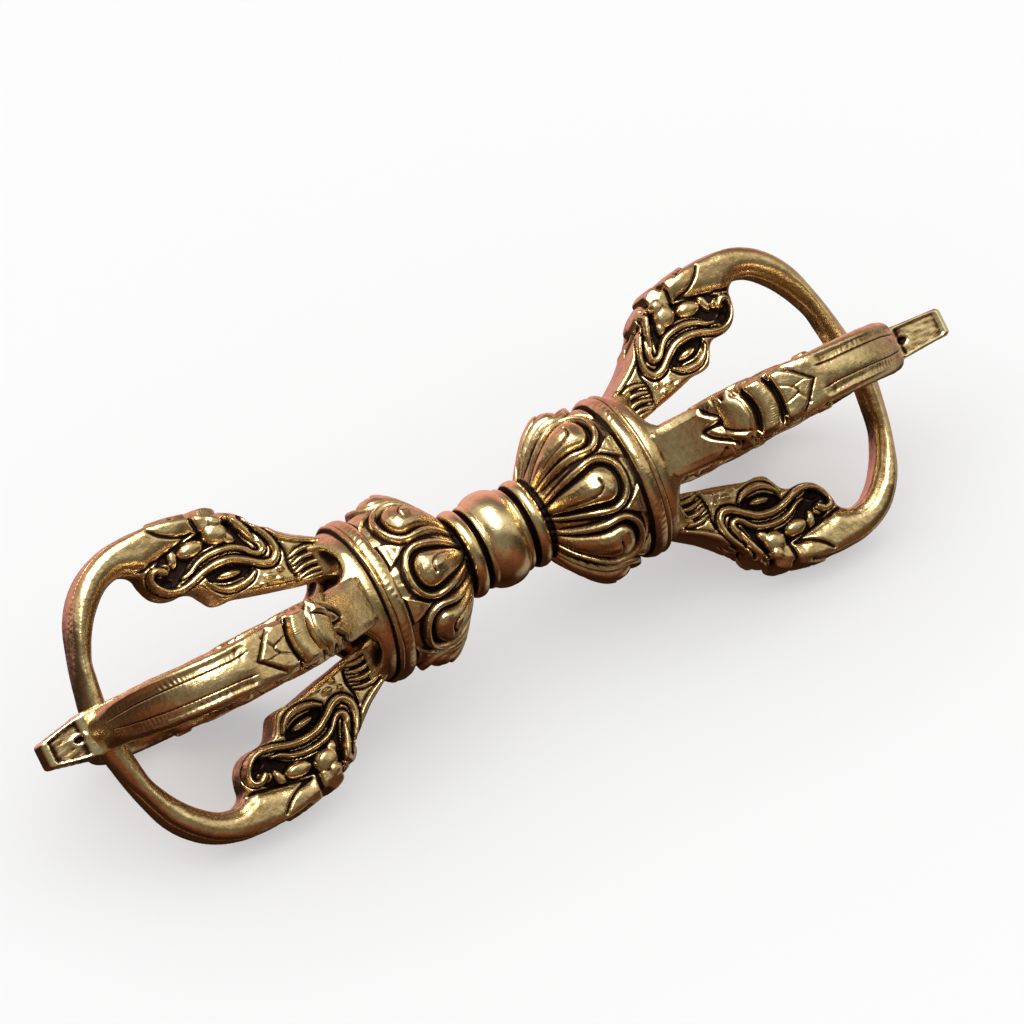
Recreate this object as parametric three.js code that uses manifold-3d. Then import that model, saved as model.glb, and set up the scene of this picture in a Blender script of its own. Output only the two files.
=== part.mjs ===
// A five-pronged vajra in aged brass, in millimetres, lying along X with +Z up.
// The origin is the middle of the hub. The right half is built, and turned for the left half.
import * as THREE from 'three';
import { mergeVertices } from 'three/addons/utils/BufferGeometryUtils.js';
import Module from 'manifold-3d';

const wasm = await Module();
wasm.setup();

// Fits
const fitGap = 0.3; // between a piece and what it seats on

// Hub, collars and lotus cups
const knobLength = 3.32;
const knobRadius = 3.35;
const knobEdgeRadius = 2.9;
const collarLength = 0.95;
const collarRadius = 3.1;
const cupLength = 6;
const cupNeckRadius = 2.65;
const cupBellyRadius = 5.55;
const petalCount = 8;
const petalRelief = 0.45;

// Rim rings and prong seats
const ringLength = 0.95;
const ringRadius = 5.75;
const ringThickness = 0.85;
const seatRadius = 5.25;
const seatFlange = 0.66;
const seatDish = 0.25;

// Outer prongs
const prongCount = 4;
const prongRoll = Math.PI / 4; // the vajra lies on two prongs at each end
const rightLongProng = 19; // the pair that leans to the front and its opposite
const rightShortProng = 16.9;
const leftLongProng = 20;
const leftShortProng = 19.5;
const prongCrown = 10.9; // from the axis to the outside of the arc
const prongRootHalfWidth = 1.75;
const prongHeadHalfWidth = 1.6;
const prongArcHalfWidth = 1.8;
const prongEndHalfWidth = 1.45;
const prongBevel = 0.45;
const tenonHeight = 0.8;
const tenonWidth = 2;
const tenonLength = 1;

// Carving of the sea-monster heads
const ropeRadius = 0.29;
const mouthDepth = 0.45;
const bandRadius = 0.5;
const leafThickness = 0.3;

// Central prongs
const tipLength = 3.28; // beyond the end of the longest prong
const tangRadius = 0.9;
const shaftRootHalf = 1.3;
const shaftJunctionHalf = 1.58;
const shaftTipHalf = 0.96;
const junctionMargin = 0.2; // on each side of the outer prongs' landing
const rightTipStep = 0.5;
const leftTipStep = 0.14;
const tipStepLength = 0.4;
const panelDepth = 0.15;
const panelBorder = 0.3;

// Places along the axis, each worked out from the piece before it
const collarStart = knobLength / 2 + fitGap;
const cupStart = collarStart + collarLength + fitGap;
const cupEnd = cupStart + cupLength;
const seatStart = cupEnd + fitGap;
const flangeStart = seatStart + ringLength + fitGap;
const seatEnd = flangeStart + seatFlange;
const rootStart = seatEnd + fitGap;
const longestProng = Math.max(rightLongProng, rightShortProng, leftLongProng, leftShortProng);
const tipReach = rootStart + longestProng + tipLength; // hub middle to the flat end
const boreRadius = tangRadius + fitGap;
const seatBodyRadius = ringRadius - ringThickness - fitGap;
const prongLanding = shaftJunctionHalf + fitGap;

// The outline and the carving of an outer prong, along from the root and out from the axis. They
// are stretched from the length, landing and crown of this outline to the sizes above.
const outerOutline = [[0, 5.4], [1.4, 6.3], [3, 7.65], [4.4, 8.95], [6, 9.9], [8.6, 10.65],
  [11, 10.9], [13.2, 10.65], [15.2, 9.6], [16.8, 7.7], [17.9, 5], [18.8, 1.88]];
const [drawnLength, drawnLanding] = outerOutline.at(-1);
const drawnCrown = Math.max(...outerOutline.map(([, out]) => out));
const heel = [17.2, drawnLanding];
const innerOutline = [[17.15, 2.9], [16.9, 4.5], [16.1, 6.1], [15, 7.5], [13.8, 8.35], [12.6, 8.5],
  [11.6, 7.9], [11.2, 6.9], [10.6, 6], [9.4, 5.6], [8.4, 5.4], [7.6, 4.5], [5.2, 3.65], [1.3, 2.8]];
const outerSteps = 15;
const innerSteps = 21;
const rootInner = 2.6;
const lipRope = [[3.7, 8], [3.2, 7.1], [2.95, 6.3], [3.05, 5.6], [3.5, 5.15], [4.2, 5.2],
  [4.95, 5.8], [5.7, 6.45], [6.6, 6.8], [7.55, 6.75], [8.45, 6.3], [9.35, 5.95], [10.2, 5.95],
  [10.9, 6.4], [11.2, 7], [11.2, 7.6]];
const gumRope = [[4.2, 8.1], [3.85, 7.3], [3.6, 6.4], [3.75, 5.95], [4.25, 5.95], [4.9, 6.5],
  [5.7, 7.1], [6.6, 7.35], [7.5, 7.3], [8.3, 6.95], [8.95, 6.5]];
const mouthOutline = [[5.4, 7.2], [6.8, 7.7], [8.3, 7.3], [9.3, 6.7], [10.7, 7.4], [10.6, 8.3],
  [9.6, 8.75], [5.8, 8.5]];
const eye = { along: 6.15, out: 5.3, length: 1.8, height: 0.65 };
const nostril = { along: 10.1, out: 6.75, radius: 0.42 };
const gills = { start: 0.4, end: 2.1, out: 5, spacing: 0.65, count: 3, radius: 0.16 };
const bands = [[4.6, 8.9], [6.2, 9.85]];
const leaf = { start: 7.1, middle: 8.3, end: 9.65, below: 0.3, lean: 0.18 };

// The prong's half widths seen from outside, at points along it.
const widths = [[-1, prongRootHalfWidth], [0, prongRootHalfWidth], [2.8, prongHeadHalfWidth],
  [11.4, prongHeadHalfWidth], [12.6, prongArcHalfWidth], [15.8, prongArcHalfWidth],
  [drawnLength + 0.1, prongEndHalfWidth]];

const outScale = (prongCrown - prongLanding) / (drawnCrown - drawnLanding);
const raised = (out) => prongLanding + (out - drawnLanding) * outScale;
const placerFor = (length) => ([along, out]) => [
  rootStart + along * (length / drawnLength),
  raised(out),
];

const brass = new THREE.MeshStandardMaterial({ color: 0xa98a4e, roughness: 0.36, metalness: 1 });

function toSolid(geometry) {
  const bare = geometry.clone();
  bare.deleteAttribute('normal');
  bare.deleteAttribute('uv');
  const merged = mergeVertices(bare, 1e-4);
  return new wasm.Manifold(new wasm.Mesh({
    numProp: 3,
    vertProperties: new Float32Array(merged.attributes.position.array),
    triVerts: new Uint32Array(merged.index.array),
  }));
}

function toGeometry(solid) {
  const { vertProperties, triVerts } = solid.getMesh();
  const geometry = new THREE.BufferGeometry();
  geometry.setAttribute('position', new THREE.BufferAttribute(vertProperties, 3));
  geometry.setIndex(new THREE.BufferAttribute(triVerts, 1));
  geometry.computeVertexNormals();
  return geometry;
}

function joined(geometries) {
  return geometries.map(toSolid).reduce((whole, solid) => whole.add(solid));
}

// A profile of [station, radius] points that closes on itself, turned around X.
function turned(profile, segments) {
  const closed = [...profile, profile[0]].reverse();
  const points = closed.map(([station, radius]) => new THREE.Vector2(radius, station));
  return new THREE.LatheGeometry(points, segments).rotateZ(-Math.PI / 2);
}

// Points evenly along a smooth curve through the given [x, y] points.
function smoothed(points, steps) {
  return new THREE.SplineCurve(points.map((point) => new THREE.Vector2(...point))).getPoints(steps);
}

// A square rod along [station, out] points in the plane y = 0, with one edge up: sunk to its
// middle in a flat side, it is a ridge.
function rope(points, radius, steps) {
  const path = new THREE.CatmullRomCurve3(points.map(([x, z]) => new THREE.Vector3(x, 0, z)));
  const corners = [[radius, 0], [0, radius], [-radius, 0], [0, -radius]];
  const section = new THREE.Shape(corners.map(([x, y]) => new THREE.Vector2(x, y)));
  return new THREE.ExtrudeGeometry(section, { extrudePath: path, steps, bevelEnabled: false });
}

function hubKnob() {
  const half = knobLength / 2;
  const profile = [[half, boreRadius], [half, knobEdgeRadius]];
  const steps = 6;
  for (let i = 1; i < steps; i += 1) {
    const across = 1 - (2 * i) / steps;
    const bulge = (knobRadius - knobEdgeRadius) * (1 - across * across);
    profile.push([across * half, knobEdgeRadius + bulge]);
  }
  profile.push([-half, knobEdgeRadius], [-half, boreRadius]);
  return turned(profile, 24);
}

// A ring with rounded outer edges.
function hoop(start, length, inner, outer, segments) {
  const end = start + length;
  const round = length * 0.3;
  return turned([
    [end, inner],
    [end, outer - round],
    [end - round, outer],
    [start + round, outer],
    [start, outer - round],
    [start, inner],
  ], segments);
}

// The cup's belly radius at a share of its length, from its neck to its mouth.
function bellyRadius(share) {
  const widest = 0.55;
  const swell = Math.sin(Math.min(share / widest, 1) * Math.PI / 2);
  return cupNeckRadius + (cupBellyRadius - cupNeckRadius) * swell;
}

// Half the angle that a drop-shaped petal covers at a share of the cup's length.
function petalHalfAngle(share) {
  const widest = 0.66;
  const tip = 0.93;
  const full = Math.PI / petalCount;
  if (share <= widest) return full * (0.7 + 0.24 * (share / widest));
  const past = Math.min((share - widest) / (tip - widest), 1);
  return full * Math.max(0.94 * Math.sqrt(1 - past * past), 0.2);
}

// The columns of a petal: the valley beside it, its rim, its groove and its boss.
const petalColumns = [
  { place: -1, height: -0.5 },
  { place: -0.84, height: 0.9 },
  { place: -0.62, height: -0.2 },
  { place: -0.42, height: 0.6 },
  { place: 0, height: 1 },
  { place: 0.42, height: 0.6 },
  { place: 0.62, height: -0.2 },
  { place: 0.84, height: 0.9 },
];

function lotusCup() {
  const shares = [0, 0.15, 0.36, 0.6, 0.76, 0.88, 0.95, 1];
  const profile = shares.map((share) => [cupStart + share * cupLength, bellyRadius(share)]);
  profile.push([cupEnd, boreRadius], [cupStart, boreRadius]);
  const rows = profile.length + 1;
  const geometry = turned(profile.reverse(), petalCount * petalColumns.length);
  const position = geometry.attributes.position;
  for (let i = 0; i < position.count; i += 1) {
    const column = Math.floor(i / rows);
    const x = position.getX(i);
    const radius = Math.hypot(position.getY(i), position.getZ(i));
    if (radius < boreRadius + fitGap) continue;
    const share = (x - cupStart) / cupLength;
    const { place, height } = petalColumns[column % petalColumns.length];
    const petal = Math.floor(column / petalColumns.length);
    const edge = place === -1 ? Math.PI / petalCount : petalHalfAngle(share);
    const angle = (2 * Math.PI * petal) / petalCount + place * edge;
    const rise = Math.min(share / 0.2, 1);
    const sepal = place === -1 ? Math.max(Math.min((share - 0.62) / 0.15, 1), 0) * 1.3 : 0;
    const past = share > 0.94 ? 0 : 1;
    const moved = radius + petalRelief * (rise * height * past + sepal * (share < 0.98 ? 1 : 0));
    position.setXYZ(i, x, -moved * Math.sin(angle), moved * Math.cos(angle));
  }
  return geometry;
}

// The tenon under a prong's root, or, grown by the clearance, the mortise that it enters.
function tenonBlock(grow) {
  const depth = tenonLength + fitGap + grow;
  const box = new THREE.BoxGeometry(depth, tenonWidth + 2 * grow, tenonHeight + 2 * grow);
  return box.translate(rootStart - depth / 2, 0, raised(rootInner + fitGap + tenonHeight / 2));
}

function prongSeat() {
  const edge = 0.1;
  const dishShare = 0.86;
  let solid = toSolid(turned([
    [seatEnd - seatDish, boreRadius],
    [seatEnd, seatRadius * dishShare],
    [seatEnd - edge, seatRadius],
    [flangeStart, seatRadius],
    [flangeStart, seatBodyRadius],
    [seatStart, seatBodyRadius],
    [seatStart, boreRadius],
  ], 28));
  for (let i = 0; i < prongCount; i += 1) {
    const roll = prongRoll + (2 * Math.PI * i) / prongCount;
    solid = solid.subtract(toSolid(tenonBlock(fitGap).rotateX(roll)));
  }
  return toGeometry(solid);
}

// A square shaft whose flat sides face the outer prongs, on a round tang.
function centralProng({ longProng, shortProng, tipStep }) {
  const junctionStart = placerFor(shortProng)(heel)[0] - junctionMargin;
  const junctionEnd = rootStart + longProng + junctionMargin;
  const stepEnd = junctionEnd + tipStepLength;
  const stations = [
    [rootStart, shaftRootHalf],
    [junctionStart, shaftJunctionHalf],
    [junctionEnd, shaftJunctionHalf],
    [stepEnd, shaftJunctionHalf - tipStep],
    [tipReach, shaftTipHalf],
  ];
  const points = [
    new THREE.Vector2(0, rootStart),
    ...stations.map(([x, half]) => new THREE.Vector2(half * Math.SQRT2, x)),
    new THREE.Vector2(0, tipReach),
  ];
  const shaft = new THREE.LatheGeometry(points, 4).rotateZ(-Math.PI / 2);
  const tangStart = fitGap / 2;
  const tangLength = rootStart + fitGap - tangStart;
  const tang = new THREE.CylinderGeometry(tangRadius, tangRadius, tangLength, 16);
  tang.rotateZ(-Math.PI / 2).translate(tangStart + tangLength / 2, 0, 0);
  let solid = joined([shaft, tang]);
  const taperLength = tipReach - stepEnd;
  const taperDrop = shaftJunctionHalf - tipStep - shaftTipHalf;
  const middleHalf = shaftTipHalf + taperDrop / 2;
  for (let i = 0; i < 4; i += 1) {
    const panel = new THREE.BoxGeometry(
      taperLength - 2 * panelBorder,
      2 * (shaftTipHalf - panelBorder),
      2 * panelDepth,
    );
    panel.rotateY(Math.atan2(taperDrop, taperLength));
    panel.translate(stepEnd + taperLength / 2, 0, middleHalf).rotateX(prongRoll + i * Math.PI / 2);
    solid = solid.subtract(toSolid(panel));
  }
  return toGeometry(solid);
}

// The prong's flat body: its side outline, cut to its widths seen from outside.
function prongBody(placed) {
  const outline = new THREE.Shape([
    new THREE.Vector2(...placed([0, rootInner])),
    ...smoothed(outerOutline.map(placed), outerSteps),
    ...smoothed([heel, ...innerOutline].map(placed), innerSteps),
  ]);
  const widest = Math.max(...widths.map(([, half]) => half));
  const core = 2 * (widest - prongBevel);
  const rim = prongBevel * 0.7;
  const body = new THREE.ExtrudeGeometry(outline, {
    depth: core,
    bevelSegments: 1,
    bevelSize: rim,
    bevelThickness: prongBevel,
    bevelOffset: -rim,
  });
  body.translate(0, 0, -core / 2).rotateX(Math.PI / 2);
  const edge = widths.map(([along, half]) => [placed([along, 0])[0], half]);
  const face = new THREE.Shape([
    ...edge.map(([x, half]) => new THREE.Vector2(x, half)),
    ...edge.reverse().map(([x, half]) => new THREE.Vector2(x, -half)),
  ]);
  const blank = new THREE.ExtrudeGeometry(face, { depth: 2 * prongCrown, bevelEnabled: false });
  return toSolid(body).intersect(toSolid(blank));
}

// The mouth's hollow and the nostril, on both flat sides.
function headHollows(placed) {
  const outline = new THREE.Shape(mouthOutline.map((point) => new THREE.Vector2(...placed(point))));
  const mouth = new THREE.ExtrudeGeometry(outline, { depth: 2 * mouthDepth, bevelEnabled: false });
  mouth.translate(0, 0, -mouthDepth).rotateX(Math.PI / 2);
  const [noseX, noseOut] = placed([nostril.along, nostril.out]);
  const nose = new THREE.CylinderGeometry(nostril.radius, nostril.radius, 2 * mouthDepth, 6);
  nose.translate(noseX, 0, noseOut);
  return [mouth, nose].flatMap((shape) => [-1, 1].map(
    (side) => shape.clone().translate(0, side * prongHeadHalfWidth, 0),
  ));
}

// Lip and gum ropes, eye and gills, on both flat sides.
function headRelief(placed) {
  const onSide = [
    rope(lipRope.map(placed), ropeRadius, 10),
    rope(gumRope.map(placed), ropeRadius, 7),
  ];
  const [eyeX, eyeOut] = placed([eye.along, eye.out]);
  const ball = new THREE.SphereGeometry(1, 6, 4).rotateX(Math.PI / 2);
  onSide.push(ball.scale(eye.length / 2, ropeRadius, eye.height / 2).translate(eyeX, 0, eyeOut));
  for (let i = 0; i < gills.count; i += 1) {
    const out = gills.out - i * gills.spacing;
    onSide.push(rope([[gills.start, out], [gills.end, out]].map(placed), gills.radius, 1));
  }
  return onSide.flatMap((shape) => [-1, 1].map(
    (side) => shape.clone().translate(0, side * prongHeadHalfWidth, 0),
  ));
}

// The bands across a prong's back and the five-cornered leaf beyond them.
function backRelief(placed) {
  const relief = bands.map((point) => {
    const [x, out] = placed(point);
    const band = new THREE.CylinderGeometry(bandRadius, bandRadius, 2 * (prongHeadHalfWidth + 0.35), 6);
    return band.translate(x, 0, out);
  });
  const half = prongHeadHalfWidth;
  const [x, out] = placed([leaf.middle, drawnCrown - leaf.below]);
  const plate = new THREE.Shape([
    [leaf.start, -half], [leaf.middle, -half * 0.95], [leaf.end, 0], [leaf.middle, half * 0.95],
    [leaf.start, half],
  ].map(([along, y]) => new THREE.Vector2(placed([along, 0])[0] - x, y)));
  const sheet = new THREE.ExtrudeGeometry(plate, { depth: 2 * leafThickness, bevelEnabled: false });
  relief.push(sheet.translate(0, 0, -leafThickness).rotateY(-leaf.lean).translate(x, 0, out));
  return relief;
}

function outerProng(placed) {
  const hollowed = headHollows(placed).reduce(
    (solid, cut) => solid.subtract(toSolid(cut)),
    prongBody(placed),
  );
  const relief = joined([...headRelief(placed), ...backRelief(placed), tenonBlock(0)]);
  return toGeometry(hollowed.add(relief));
}

const collar = hoop(collarStart, collarLength, boreRadius, collarRadius, 20);
const cup = lotusCup();
const ring = hoop(seatStart, ringLength, ringRadius - ringThickness, ringRadius, 28);
const seat = prongSeat();

const sides = {
  right: {
    longProng: rightLongProng,
    shortProng: rightShortProng,
    tipStep: rightTipStep,
    longPlaces: { upper_front: 0, lower_back: 2 },
    shortPlaces: { lower_front: 1, upper_back: 3 },
  },
  left: {
    longProng: leftLongProng,
    shortProng: leftShortProng,
    tipStep: leftTipStep,
    longPlaces: { lower_back: 1, upper_front: 3 },
    shortPlaces: { upper_back: 0, lower_front: 2 },
  },
};

function named(name, geometry) {
  const mesh = new THREE.Mesh(geometry, brass);
  mesh.name = name;
  return mesh;
}

// Two opposite prongs of one length, each turned to its quarter of the circle.
function prongPair(side, length, places) {
  const shape = outerProng(placerFor(length));
  return Object.entries(places).map(([place, quarter]) => {
    const prong = named(`outer_prong_${side}_${place}`, shape);
    prong.rotation.x = prongRoll + (2 * Math.PI * quarter) / prongCount;
    return prong;
  });
}

function half(side, form) {
  const group = new THREE.Group();
  group.add(named(`collar_${side}`, collar));
  group.add(named(`lotus_cup_${side}`, cup));
  group.add(named(`rim_ring_${side}`, ring));
  group.add(named(`prong_seat_${side}`, seat));
  group.add(named(`central_prong_${side}`, centralProng(form)));
  group.add(...prongPair(side, form.longProng, form.longPlaces));
  group.add(...prongPair(side, form.shortProng, form.shortPlaces));
  return group;
}

const vajra = new THREE.Group();
vajra.add(named('hub_knob', hubKnob()));
for (const [side, form] of Object.entries(sides)) {
  const group = half(side, form);
  if (side === 'left') group.rotation.z = Math.PI;
  vajra.add(group);
}

export default vajra;
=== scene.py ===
# %% [markdown]
# A vajra is a short brass sceptre, cast in small pieces and then left to darken.
# Its sizes come from a finished model of the solids, which is loaded first and never
# moved. Everything added later is placed from those solids, in metres.

# %% Load the solids
import math

import bpy
import numpy as np
from mathutils import Matrix, Vector


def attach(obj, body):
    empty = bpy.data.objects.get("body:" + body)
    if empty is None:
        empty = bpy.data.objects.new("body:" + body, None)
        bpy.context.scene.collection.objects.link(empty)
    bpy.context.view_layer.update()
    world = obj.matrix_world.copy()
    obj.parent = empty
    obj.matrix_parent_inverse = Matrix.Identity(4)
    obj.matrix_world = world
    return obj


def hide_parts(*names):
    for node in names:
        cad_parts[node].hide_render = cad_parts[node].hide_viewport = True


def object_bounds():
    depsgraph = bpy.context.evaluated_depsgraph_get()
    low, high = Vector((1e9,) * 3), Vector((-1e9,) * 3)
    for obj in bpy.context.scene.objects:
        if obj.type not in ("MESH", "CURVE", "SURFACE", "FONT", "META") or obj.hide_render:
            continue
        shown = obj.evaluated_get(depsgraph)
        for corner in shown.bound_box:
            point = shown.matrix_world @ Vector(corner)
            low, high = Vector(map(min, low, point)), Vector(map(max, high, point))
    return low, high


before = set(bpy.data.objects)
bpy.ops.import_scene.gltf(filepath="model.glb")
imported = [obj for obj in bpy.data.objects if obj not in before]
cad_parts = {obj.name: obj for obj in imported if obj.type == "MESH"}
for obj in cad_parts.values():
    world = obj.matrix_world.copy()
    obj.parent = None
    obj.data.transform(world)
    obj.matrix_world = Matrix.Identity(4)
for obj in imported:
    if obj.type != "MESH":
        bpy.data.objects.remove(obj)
solid_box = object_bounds()
scene = bpy.context.scene
MM = 0.001
print("solids:", sorted(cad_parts))

# %% [markdown]
# The vajra lies on two prongs at each end, so one prong of each end leans towards the
# front at 45 degrees. The photographer looked down on it almost along that lean, from a
# little to the left and through a long lens, with the vajra running uphill in the frame.
# The camera is placed by the same three angles.

# %% Place the camera
VIEW_DISTANCE = 2.5
TURN_FROM_SQUARE = math.radians(18.5)
LOOK_DOWN = math.radians(44)
AXIS_SLOPE = math.radians(25.9)
PIXELS_PER_MM = 15.06
PICTURE_SIDE = 1024
HUB_PIXEL = (493.2, 539.2)
SENSOR_WIDTH = 36

along = Vector((1, 0, 0))
outward = Vector((0, -math.cos(LOOK_DOWN), math.sin(LOOK_DOWN)))
toward = outward * math.cos(TURN_FROM_SQUARE) - along * math.sin(TURN_FROM_SQUARE)
axis_seen = (along - toward * along.dot(toward)).normalized()
across = toward.cross(axis_seen)
right = axis_seen * math.cos(AXIS_SLOPE) - across * math.sin(AXIS_SLOPE)
up = axis_seen * math.sin(AXIS_SLOPE) + across * math.cos(AXIS_SLOPE)
middle = PICTURE_SIDE / 2
aim = (right * (middle - HUB_PIXEL[0]) + up * (HUB_PIXEL[1] - middle)) * (MM / PIXELS_PER_MM)

camera_data = bpy.data.cameras.new("camera")
camera_data.sensor_width = SENSOR_WIDTH
camera_data.lens = SENSOR_WIDTH * VIEW_DISTANCE / (PICTURE_SIDE / PIXELS_PER_MM * MM)
camera_data.clip_start = 0.01
camera = bpy.data.objects.new("camera", camera_data)
turn = Matrix((right, up, toward)).transposed().to_4x4()
camera.matrix_world = Matrix.Translation(aim + toward * VIEW_DISTANCE) @ turn
scene.collection.objects.link(camera)
bpy.context.scene.camera = camera
print("camera stands at", [round(value, 3) for value in camera.matrix_world.translation])

# %% [markdown]
# Polished metal shows its surroundings more than its own colour. Pale paper lies under
# the vajra, but what the brass mirrors is a wooden table, so the paper is hidden from
# reflections. It also glows a little, so its shadow is as faint as in the photograph.

# %% Lay the floor
FLOOR_SIDE = 6
floor_height = solid_box[0][2]
bpy.ops.mesh.primitive_plane_add(size=FLOOR_SIDE, location=(0, 0, floor_height))
floor = bpy.context.object
floor.name = "floor"
floor.visible_glossy = False
paper = bpy.data.materials.new("pale_paper")
paper.use_nodes = True
paper_shader = paper.node_tree.nodes["Principled BSDF"]
PAPER_LOOK = {"Base Color": (0.52, 0.52, 0.52, 1), "Emission Color": (1, 1, 1, 1),
              "Emission Strength": 0.42, "Roughness": 0.9, "Specular IOR Level": 0}
for label, value in PAPER_LOOK.items():
    paper_shader.inputs[label].default_value = value
floor.data.materials.append(paper)
print("floor at", round(floor_height, 5), "m")

# %% [markdown]
# A large soft lamp hangs above, on the camera's side and a little to the left, where the
# photograph's highlights point. A small one beside it, brighter for its size, gives the
# sharp glints. Neither lights the paper.

# %% Hang the lamps
LAMP_DISTANCE = 0.6


def soft_lamp(name, direction, width, height, power, color):
    """An oblong lamp that faces the vajra and is seen only in reflections."""
    data = bpy.data.lights.new(name, "AREA")
    data.shape = "RECTANGLE"
    data.size, data.size_y = width, height
    data.energy, data.color = power, color
    lamp = bpy.data.objects.new(name, data)
    lamp.location = direction.normalized() * LAMP_DISTANCE
    lamp.rotation_euler = direction.to_track_quat("Z", "Y").to_euler()
    lamp.visible_diffuse = False
    scene.collection.objects.link(lamp)
    print(name, "lamp of", power, "W,", width, "by", height, "m")


soft_lamp("key", up * 0.72 - right * 0.2 + toward * 0.7,
          width=0.6, height=0.36, power=5.5, color=(1, 0.98, 0.86))
soft_lamp("glint", up * 0.75 - right * 0.3 + toward * 0.6,
          width=0.12, height=0.05, power=0.5, color=(1, 1, 0.95))

# %% [markdown]
# The room itself is painted into the world, by direction. From low to high it is a brown
# table, a dark gap and a pale wall, and it is brightest to the sides of the camera. Right
# behind the camera it is olive grey. Behind the vajra stands a rosy wall, which gives way to
# a pale one on the right. Only mirror-like rays see this room: all others find plain white.

# %% Start the room
world = bpy.data.worlds.new("studio")
world.use_nodes = True
scene.world = world
sky_nodes, link_sky = world.node_tree.nodes, world.node_tree.links.new
direction_in = sky_nodes.new("ShaderNodeTexCoord")


def set_stops(ramp, stops):
    """Give a colour ramp its stops, each a position and a colour."""
    while len(ramp.color_ramp.elements) < len(stops):
        ramp.color_ramp.elements.new(0.5)
    for element, (position, color) in zip(ramp.color_ramp.elements, stops):
        element.position = position
        element.color = (*color, 1)


def sky_ramp(axis, stops):
    """Colours that change with how far a ray points along an axis, from -1 to 1."""
    dot = sky_nodes.new("ShaderNodeVectorMath")
    dot.operation = "DOT_PRODUCT"
    dot.inputs[1].default_value = axis
    share = sky_nodes.new("ShaderNodeMapRange")
    share.inputs["From Min"].default_value = -1
    ramp = sky_nodes.new("ShaderNodeValToRGB")
    ramp.color_ramp.interpolation = "EASE"
    set_stops(ramp, [((position + 1) / 2, color) for position, color in stops])
    link_sky(direction_in.outputs["Generated"], dot.inputs[0])
    link_sky(dot.outputs["Value"], share.inputs["Value"])
    link_sky(share.outputs["Result"], ramp.inputs["Fac"])
    return ramp.outputs["Color"]


def sky_mix(kind, first, second):
    """Two colours of the room, added or multiplied in full."""
    mix = sky_nodes.new("ShaderNodeMix")
    mix.data_type = "RGBA"
    mix.blend_type = kind
    mix.inputs["Factor"].default_value = 1
    link_sky(first, mix.inputs["A"])
    link_sky(second, mix.inputs["B"])
    return mix.outputs["Result"]


print("the room starts from", direction_in.name)

# %% Paint its walls
BLACK, DIM, HALF_LIT, WHITE = (0, 0, 0), (0.2, 0.2, 0.2), (0.7, 0.7, 0.7), (1, 1, 1)
TABLE, TABLE_EDGE, TABLE_FAR = (0.13, 0.042, 0.02), (0.25, 0.09, 0.04), (0.14, 0.062, 0.03)
GAP, WALL, WALL_TOP = (0.05, 0.036, 0.022), (0.88, 0.83, 0.66), (0.3, 0.27, 0.22)
ROSY, ROSY_TOP = (0.78, 0.36, 0.38), (0.3, 0.15, 0.15)
PALE, OLIVE = (0.42, 0.38, 0.32), (0.18, 0.18, 0.14)
PLAIN_LIGHT = (1.08, 1.08, 1.08, 1)

low_to_high = sky_ramp(up, [
    (-1, TABLE), (-0.5, TABLE_EDGE), (-0.3, TABLE_FAR), (-0.08, GAP), (0.12, GAP),
    (0.34, WALL), (0.7, WALL), (0.95, WALL_TOP)])
around_camera = sky_ramp(toward, [
    (-0.4, DIM), (0.1, HALF_LIT), (0.5, WHITE), (0.65, WHITE), (0.92, DIM)])
at_camera = sky_ramp(toward, [(0.55, BLACK), (0.9, OLIVE)])
rosy_wall = sky_ramp(up, [(-0.1, BLACK), (0.12, ROSY), (0.8, ROSY), (0.97, ROSY_TOP)])
only_behind = sky_ramp(toward, [(-0.75, WHITE), (-0.4, WHITE), (-0.12, BLACK)])
leftward = sky_ramp(right, [(0.3, WHITE), (0.65, BLACK)])
pale_end = sky_ramp(right, [(0.35, BLACK), (0.75, PALE)])

rosy_end = sky_mix("MULTIPLY", rosy_wall, leftward)
seen_room = sky_mix("ADD", sky_mix("MULTIPLY", low_to_high, around_camera), at_camera)
for wall_behind in (rosy_end, pale_end):
    seen_room = sky_mix("ADD", seen_room, sky_mix("MULTIPLY", wall_behind, only_behind))

room = sky_nodes.new("ShaderNodeMix")
room.data_type = "RGBA"
ray_kind = sky_nodes.new("ShaderNodeLightPath")
link_sky(ray_kind.outputs["Is Glossy Ray"], room.inputs["Factor"])
room.inputs["A"].default_value = PLAIN_LIGHT
link_sky(seen_room, room.inputs["B"])
link_sky(room.outputs["Result"], sky_nodes["Background"].inputs["Color"])
scene.view_settings.view_transform = "Standard"
print("room of", len(sky_nodes), "nodes")

# %% [markdown]
# Every piece is shaped a thousand times too large, in millimetres, because the remesher
# takes no voxel under a tenth of a millimetre and the carving needs a finer one. These
# helpers read and move the vertices, and draw smooth lines through a few chosen points.

# %% Helpers for points


def points_of(piece, what="co"):
    """All vertices of a piece, or with "normal" the way the surface faces at each."""
    flat = np.empty(len(piece.data.vertices) * 3)
    piece.data.vertices.foreach_get(what, flat)
    return flat.reshape(-1, 3)


def place_points(piece, points):
    """Move all vertices of a piece."""
    piece.data.vertices.foreach_set("co", points.ravel())
    piece.data.update()


def round_axis(points):
    """How far each point lies from the X axis, and its angle round it, up being zero."""
    return np.hypot(points[:, 1], points[:, 2]), np.arctan2(-points[:, 1], points[:, 2])


def fade(value, start, end):
    """From 0 at the start to 1 at the end, smoothly."""
    t = np.clip((value - start) / (end - start), 0, 1)
    return t * t * (3 - 2 * t)


def bell(gap, radius):
    """A soft bump: 1 where the gap is 0, and nearly gone at two radii."""
    return np.exp(-(gap / radius) ** 2)


print("a quarter of the way, a fade is", fade(0.25, 0, 1))

# %% Helpers for lines


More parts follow.
